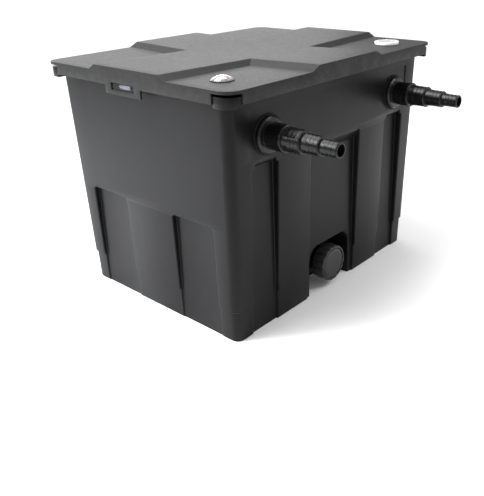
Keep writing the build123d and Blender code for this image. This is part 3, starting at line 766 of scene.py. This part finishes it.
# ---------------------------------------------------------------- drain cap
def build_drain_cap():
    """Lobed cap with a dished face, a groove inside the rim and a softened edge."""
    lobes, steps = 16, 320
    outer, lobe_depth = 0.0370, 0.00208
    back, front = 0.186, 0.213
    work = bmesh.new()

    def circle(radius, distance, lobe_depth=0.0):
        ring = []
        for step in range(steps):
            angle = 2 * math.pi * step / steps
            wave = abs(math.sin(angle * lobes / 2)) ** 0.55
            here = radius - lobe_depth * (1 - wave)
            ring.append(work.verts.new((
                DRAIN.x + here * math.cos(angle), -distance, DRAIN.z + here * math.sin(angle))))
        return ring

    def rim(shrink, distance):
        return circle(outer - shrink, distance, lobe_depth)

    bore, seat = 0.02805, 0.207
    rings = [
        circle(bore, seat), circle(bore, back), rim(0.0010, back), rim(0.0, back + 0.001),
        rim(0.0, front - 0.0022), rim(0.0006, front - 0.0008), rim(0.0020, front),
        circle(0.0325, front), circle(0.0318, front - 0.0007), circle(0.0315, front - 0.0024),
        circle(0.0301, front - 0.0024), circle(0.0298, front - 0.0012),
        circle(0.0290, front - 0.0007), circle(0.018, front - 0.0011),
        circle(0.006, front - 0.0014),
    ]
    join_rings(work, rings)
    work.faces.new(rings[-1])
    work.faces.new(list(reversed(rings[0])))
    add_piece("drain_cap_lobed", mesh_from("drain_cap_lobed", work), "drain_cap", 40.0)


build_drain_cap()


# ---------------------------------------------------------------- thermometer and indicator
def build_dial():
    """White disc with raised graduation marks, the plain generic scale of a thermometer."""
    low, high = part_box("thermometer_dial")
    work = bmesh.new()
    profile = ((0.0015, low.z), (high.x - THERMO.x, low.z), (high.x - THERMO.x, high.z - 0.0001),
               (0.0015, high.z - 0.0001))
    turned(work, profile, THERMO, 96, "Z")
    bmesh.ops.recalc_face_normals(work, faces=work.faces)
    add_piece("dial_face", mesh_from("dial_face", work), "thermometer_dial")
    marks = bmesh.new()
    for index in range(-11, 12):
        length = 0.0030 if index % 2 == 0 else 0.0018
        made = block(
            marks, (-0.00018, 0.0190 - length, high.z - 0.0002), (0.00018, 0.0190, high.z))
        turn = Matrix.Rotation(math.radians(-10.0 * index), 4, "Z")
        bmesh.ops.transform(marks, matrix=turn, verts=made)
        bmesh.ops.translate(marks, vec=(THERMO.x, THERMO.y, 0.0), verts=made)
    scale = link("dial_marks", mesh_from("dial_marks", marks))
    scale.data.materials.append(MATERIALS["fitting_plastic"])
    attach(scale, BODY_OF["thermometer_dial"])


build_dial()

bezel_low, bezel_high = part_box("thermometer_bezel")
bezel_radius = bezel_high.x - THERMO.x
turned_piece(
    "dial_bezel", "thermometer_bezel",
    ((0.00105, bezel_low.z), (bezel_radius, bezel_low.z), (bezel_radius, bezel_high.z),
     (bezel_radius - 0.002, bezel_high.z), (bezel_radius - 0.002, bezel_low.z + 0.0015),
     (0.00105, bezel_low.z + 0.0015)),
    THERMO, 0.0009, 128, "Z")


# ---------------------------------------------------------------- media
def build_rings():
    """Porous ceramic tubes laid in rows, each turned its own way and a little different in size
    and length.
    """
    low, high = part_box("ceramic_rings")
    rng = random.Random(11)
    work = bmesh.new()
    radius, bore, length = 0.0108, 0.0050, 0.0235
    columns, rows = 5, 14
    for column in range(columns):
        for row in range(rows):
            x = low.x + length / 2 + column * 0.028 + 0.0002
            y = low.y + 0.011 + row * 0.027
            spin = rng.uniform(0.0, 2 * math.pi)
            size = rng.uniform(0.96, 1.0)
            ends = rng.uniform(0.94, 1.0) * length / 2
            outer = radius * size
            profile = softened(
                ((bore, -ends), (outer, -ends), (outer, ends), (bore, ends)), 0.0012)
            rings = []
            for ring_radius, place in profile:
                ring = []
                for step in range(20):
                    angle = spin + 2 * math.pi * step / 20
                    ring.append(work.verts.new((
                        x + place, y + ring_radius * math.cos(angle),
                        low.z + outer + ring_radius * math.sin(angle))))
                rings.append(ring)
            join_rings(work, rings + rings[:1])
    add_piece("ceramic_ring_bed", mesh_from("ceramic_ring_bed", work), "ceramic_rings")


def ball_mesh(radius):
    """One openwork ball: meridian fins, an equator band and two end discs."""
    work = bmesh.new()
    fins = 10
    for fin in range(fins):
        angle = math.pi * 2 * fin / fins
        side = Vector((-math.sin(angle), math.cos(angle), 0)) * 0.0005
        outer, inner = [], []
        for step in range(7):
            tilt = math.radians(-72 + 24 * step)
            for points, reach in ((outer, radius), (inner, radius * 0.42)):
                points.append(Vector((
                    reach * math.cos(tilt) * math.cos(angle),
                    reach * math.cos(tilt) * math.sin(angle), radius * math.sin(tilt) * 0.98)))
        loops = [[work.verts.new(point + offset) for point in outer + inner[::-1]]
                 for offset in (side, -side)]
        join_rings(work, loops)
        count = len(loops[0])
        for step in range(6):
            for loop in loops:
                work.faces.new(
                    (loop[step], loop[step + 1], loop[count - 2 - step], loop[count - 1 - step]))
    end_height, end_reach = radius * 0.62, radius * 0.76
    for height, reach in (
            (0.0, radius * 0.995), (end_height, end_reach), (-end_height, end_reach)):
        turned(work, ((reach * 0.80, height - 0.0006), (reach, height - 0.0006),
                      (reach, height + 0.0006), (reach * 0.80, height + 0.0006)),
               Vector(), 20, "Z")
    return mesh_from("ball_unit", work)


def build_balls():
    """The bed of balls: same places as the CAD bed, each turned its own way."""
    low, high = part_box("bio_balls")
    radius, pitch, layers = 0.0175, 0.037, 6
    step = (high.z - low.z - 2 * radius) / (layers - 1)
    rng = random.Random(5)
    unit = ball_mesh(radius * 0.985)
    middle = (low + high) / 2
    work = bmesh.new()
    for layer in range(layers):
        columns, rows = 4 - layer % 2, 10 - layer % 2
        for column in range(columns):
            for row in range(rows):
                place = Vector((
                    middle.x + (column - (columns - 1) / 2) * pitch,
                    middle.y + (row - (rows - 1) / 2) * pitch, low.z + radius + layer * step))
                turn = Euler([rng.uniform(0, math.pi) for _ in range(3)]).to_matrix().to_4x4()
                before = len(work.verts)
                work.from_mesh(unit)
                work.verts.ensure_lookup_table()
                bmesh.ops.transform(
                    work, matrix=Matrix.Translation(place) @ turn, verts=work.verts[before:])
    add_piece("bio_ball_bed", finished("bio_ball_bed", work), "bio_balls", 40.0)


build_rings()
build_balls()


# ---------------------------------------------------------------- foam cartridges
def build_foam(node, seed):
    """Cut foam blocks: rounded, slightly wavy faces that stay inside the cartridges' space."""
    work = welded_copy(node)
    round_edges(work, 0.0025, angle=40.0, segments=3)
    low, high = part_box(node)
    for axis in range(3):
        pitch = 0.014
        count = int((high[axis] - low[axis]) / pitch)
        for index in range(1, count + 1):
            cut_across(work, axis, low[axis] + index * pitch)
    work.normal_update()
    shift = seed * 1.7
    for vertex in work.verts:
        x, y, z = vertex.co * 42.0
        wave = math.sin(x + shift) * math.sin(y * 1.3 + shift) * math.sin(z * 0.9 + shift)
        vertex.co -= vertex.normal * (0.0006 + 0.0005 * wave)
    piece = add_piece(node + "_cut", finished(node + "_cut", work), node, 60.0)


build_foam("foam_coarse", 1)
build_foam("foam_fine", 2)


# ---------------------------------------------------------------- latch catches
CATCH_HALF = 0.0155
LATCH_MIDDLE = 0.010


def build_catch(node):
    """Catch with a half-round, slightly barrelled bar that shows in the lid's window."""
    low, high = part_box(node)
    side = 1 if low.x > 0 else -1
    face = max(abs(low.x), abs(high.x))
    back = min(abs(low.x), abs(high.x))
    middle, reach = (low.z + high.z) / 2, (high.z - low.z) / 2 - 0.0001
    shares = (-1.0, -0.985, -0.95, -0.8, -0.5, -0.2, 0.0, 0.2, 0.5, 0.8, 0.95, 0.985, 1.0)
    work = bmesh.new()
    rings = []
    for share in shares:
        shrink = 0.0012 * (max(0.0, abs(share) - 0.94) / 0.06) ** 2
        bulge = face - 0.0011 * share**2 - shrink
        ring = [(back, middle - reach + shrink), (back, middle + reach - shrink)]
        for index in range(13):
            angle = math.pi * (0.5 - index / 12)
            height = (reach - shrink) * math.sin(angle)
            ring.append((bulge - 0.0042 * (1.0 - math.cos(angle)), middle + height))
        rings.append([
            work.verts.new((side * x, LATCH_MIDDLE + share * CATCH_HALF, z)) for x, z in ring
        ])
    join_rings(work, rings)
    work.faces.new(rings[0])
    work.faces.new(list(reversed(rings[-1])))
    add_piece(node + "_bar", mesh_from(node + "_bar", work), node, 50.0)


build_catch("latch_catch_left")
build_catch("latch_catch_right")


# ---------------------------------------------------------------- smaller parts, edges rounded
ROUNDED = {
    "inlet_lock_nut": 0.0008, "outlet_lock_nut": 0.0008, "drain_lock_nut": 0.0008,
    "partition_coarse_side": 0.0008, "partition_media_side": 0.0008,
    "foam_rods_coarse": 0.0012, "foam_rods_fine": 0.0012,
    "grid_feet_coarse": 0.0008, "grid_feet_fine": 0.0008, "grid_feet_bio": 0.0008,
    "media_grid_coarse": 0.0006, "media_grid_fine": 0.0006, "media_grid_bio": 0.0006,
}
for node, width in ROUNDED.items():
    rounded_piece(node, width)

# The CAD nodes that stay keep their shape and take the finished material.
for node, piece in frame["nodes"].items():
    piece.data.materials.clear()
    piece.data.materials.append(MATERIALS[SLOT_OF[node]])
    for polygon in piece.data.polygons:
        polygon.use_smooth = True
    mark_sharp(piece.data, 35.0)


# ---------------------------------------------------------------- floor, light and camera
def plain_material(name, colour):
    """Even matt material for the floor."""
    m = Nodes(name)
    tone = m.mix(m.noise(3.0), colour, tuple(min(1.0, value * 1.02) for value in colour))
    m.join(tone, m.shader.inputs["Base Color"])
    m.shader.inputs["Roughness"].default_value = 0.85
    m.shader.inputs["Specular IOR Level"].default_value = 0.2
    return m.material


def build_floor():
    """Pale plain floor, wide enough to reach past the picture."""
    work = bmesh.new()
    half = 15.0
    corners = ((-half, -half), (half, -half), (half, half), (-half, half))
    work.faces.new([work.verts.new((x, y, 0.0)) for x, y in corners])
    floor = link("floor", finished("floor", work))
    floor.data.materials.append(plain_material("floor", (0.90, 0.90, 0.90)))


def area_light(name, place, target, size, power, colour=(1.0, 1.0, 1.0)):
    """Rectangular soft light at a place, aimed at a target."""
    data = bpy.data.lights.new(name, "AREA")
    data.shape = "RECTANGLE"
    data.size, data.size_y = size
    data.energy = power
    data.color = colour
    light = link(name, data)
    light.location = place
    direction = Vector(target) - Vector(place)
    light.rotation_euler = direction.to_track_quat("-Z", "Y").to_euler()


def build_light():
    """Soft sun from behind on the left, and soft boxes over the lid and beside the box.

    The left and right boxes light the floor that the walls mirror towards the camera.
    """
    data = bpy.data.lights.new("sun", "SUN")
    data.energy = 2.3
    data.angle = math.radians(32.0)
    sun = link("sun", data)
    sun.rotation_euler = Vector((0.56, -0.40, -1.10)).to_track_quat("-Z", "Y").to_euler()
    area_light("top", (0.0, 0.25, 1.35), (0.0, 0.0, 0.45), (0.9, 0.7), 9.0)
    area_light(
        "left", (-1.05, 0.75, 1.15), (-0.62, 0.42, 0.0), (0.9, 0.9), 46.0, (0.94, 0.96, 1.0))
    area_light("right", (0.60, -1.00, 1.15), (0.36, -0.60, 0.0), (0.8, 0.8), 9.0)
    area_light("back", (1.42, 1.95, 1.20), (0.0, 0.0, 0.45), (2.1, 1.0), 17.0)
    world = bpy.data.worlds.new("studio")
    bpy.context.scene.world = world
    world.use_nodes = True
    world.node_tree.nodes["Background"].inputs["Color"].default_value = (1.0, 1.0, 1.0, 1.0)
    world.node_tree.nodes["Background"].inputs["Strength"].default_value = 0.62


CAMERA_PLACE = (-0.93809, -0.88499, 0.65064)
CAMERA_YAW = 49.11
CAMERA_PITCH = -21.93
CAMERA_ROLL = -1.20
CAMERA_LENS = 46.70
CAMERA_SHIFT = (-0.0757, -0.0957)


def build_camera():
    """The camera, from its yaw clockwise of +Y, its pitch above level and its roll."""
    yaw, pitch, roll = (math.radians(value) for value in (CAMERA_YAW, CAMERA_PITCH, CAMERA_ROLL))
    forward = Vector(
        (math.sin(yaw) * math.cos(pitch), math.cos(yaw) * math.cos(pitch), math.sin(pitch)))
    level = Vector((math.cos(yaw), -math.sin(yaw), 0.0))
    upright = level.cross(forward)
    right = level * math.cos(roll) + upright * math.sin(roll)
    up = upright * math.cos(roll) - level * math.sin(roll)
    data = bpy.data.cameras.new("camera")
    data.lens = CAMERA_LENS
    data.sensor_width = 36.0
    data.sensor_fit = "AUTO"
    data.shift_x, data.shift_y = CAMERA_SHIFT
    camera = link("camera", data)
    turn = Matrix((right, up, -forward)).transposed().to_4x4()
    camera.matrix_world = Matrix.Translation(CAMERA_PLACE) @ turn
    bpy.context.scene.camera = camera


build_floor()
build_light()
build_camera()
bpy.context.scene.view_settings.view_transform = "Standard"
